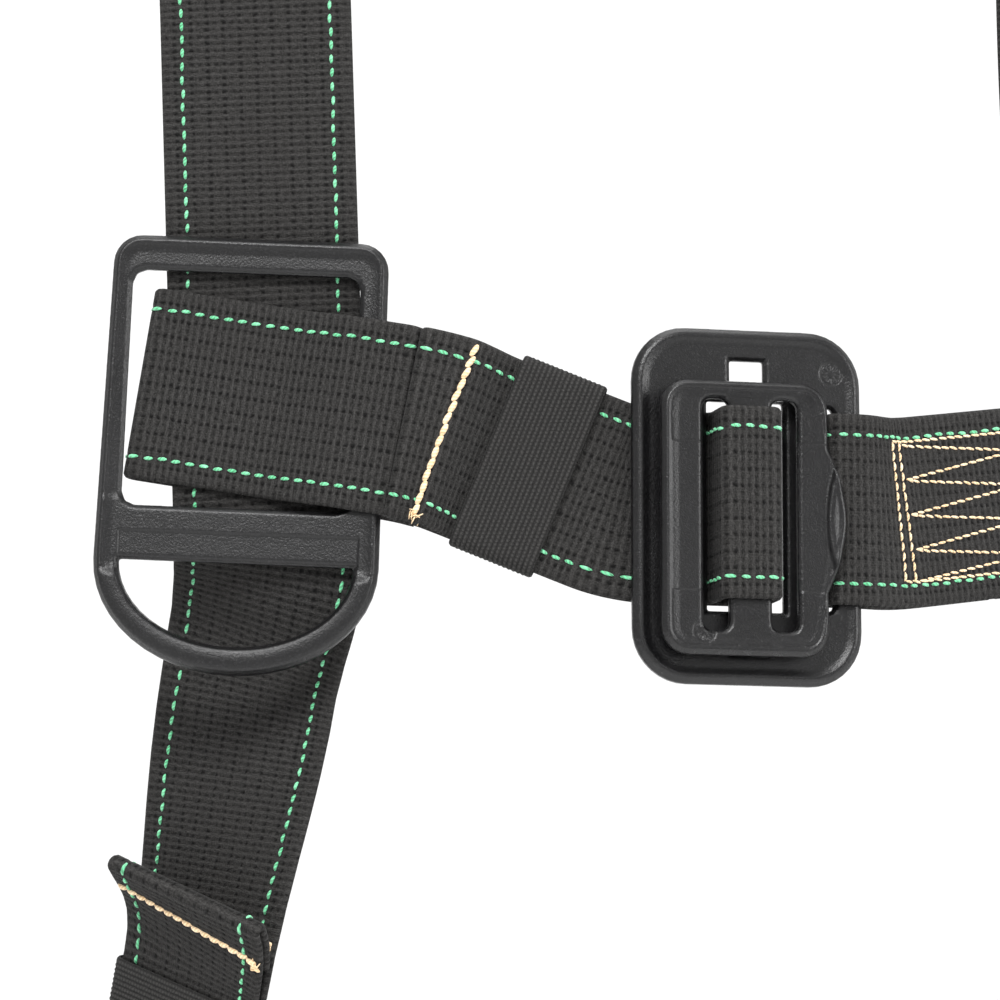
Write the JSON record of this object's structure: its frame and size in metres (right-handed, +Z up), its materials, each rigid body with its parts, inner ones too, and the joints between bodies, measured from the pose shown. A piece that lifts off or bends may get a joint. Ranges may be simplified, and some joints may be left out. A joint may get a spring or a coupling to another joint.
{
  "type": "full body climbing harness",
  "caption": "Webbing harness for tree work, shown as worn: chest strap with a pass-through buckle and lanyard keepers, a back cross strap with a dorsal ring, seat strap and leg loops.",
  "frame": {"origin": "middle of the wearer's chest at the height of the chest buckle", "axes": "+Z up, -Y the wearer's front, +X the wearer's left"},
  "size_m": [0.378, 0.315, 0.8786],
  "materials": {
    "webbing": "ribbed woven polyester, matte, with green edge stitching",
    "elastic": "fine knitted elastic, matte",
    "coated_steel": "black powder coat, fine grain, semi-gloss on worn edges",
    "moulded_plastic": "black moulded nylon, fine grain, semi-matte"
  },
  "bodies": {
    "harness": {"back_cross_strap": "webbing", "back_plate": "moulded_plastic", "dorsal_tab": "webbing", "leg_buckle_frame_left": "coated_steel", "leg_buckle_frame_right": "coated_steel", "leg_buckle_tongue_left": "coated_steel", "leg_buckle_tongue_right": "coated_steel", "leg_hip_strap_left": "webbing", "leg_hip_strap_right": "webbing", "leg_strap_left": "webbing", "leg_strap_right": "webbing", "seat_strap": "webbing", "shoulder_strap_left": "webbing", "shoulder_strap_right": "webbing", "torso_adjuster_left": "coated_steel", "torso_adjuster_right": "coated_steel"},
    "chest_band": {"chest_strap_right": "webbing", "chest_strap_left": "webbing", "chest_elastic": "elastic", "chest_buckle_frame": "coated_steel", "lanyard_keeper_right": "moulded_plastic", "lanyard_keeper_left": "moulded_plastic"},
    "chest_tongue": {"chest_buckle_tongue": "coated_steel"},
    "dorsal_ring": {"dorsal_d_ring": "coated_steel"},
    "torso_elastic_right": {"torso_elastic_right": "elastic"},
    "torso_elastic_left": {"torso_elastic_left": "elastic"},
    "leg_elastic_right": {"leg_elastic_right": "elastic"},
    "leg_elastic_left": {"leg_elastic_left": "elastic"}
  },
  "joints": [
    {"name": "chest_height_slide", "type": "slide", "parent": "harness", "child": "chest_band", "axis": [0, 0.1392, 0.9903], "range_m": [0, 0.03]},
    {"name": "chest_tongue_hinge", "type": "hinge", "parent": "chest_band", "child": "chest_tongue", "pos_m": [-0.02222, -0.13633, 0.00244], "axis": [-0.0349, -0.1391, -0.9897], "range_deg": [0, 40], "deforming": ["chest_strap_right"]},
    {"name": "dorsal_ring_hinge", "type": "hinge", "parent": "harness", "child": "dorsal_ring", "pos_m": [0, 0.1248, 0.19], "axis": [1, 0, 0], "range_deg": [0, 84]},
    {"name": "torso_elastic_slide_right", "type": "slide", "parent": "harness", "child": "torso_elastic_right", "axis": [-0.14, 0.1999, -0.9698], "range_m": [0, 0.012]},
    {"name": "leg_elastic_slide_right", "type": "slide", "parent": "harness", "child": "leg_elastic_right", "axis": [-0.7207, 0.0601, 0.6907], "range_m": [0, 0.009]},
    {"name": "torso_elastic_slide_left", "type": "slide", "parent": "harness", "child": "torso_elastic_left", "axis": [0.14, 0.1999, -0.9698], "range_m": [0, 0.012]},
    {"name": "leg_elastic_slide_left", "type": "slide", "parent": "harness", "child": "leg_elastic_left", "axis": [0.7207, 0.0601, 0.6907], "range_m": [0, 0.009]}
  ]
}
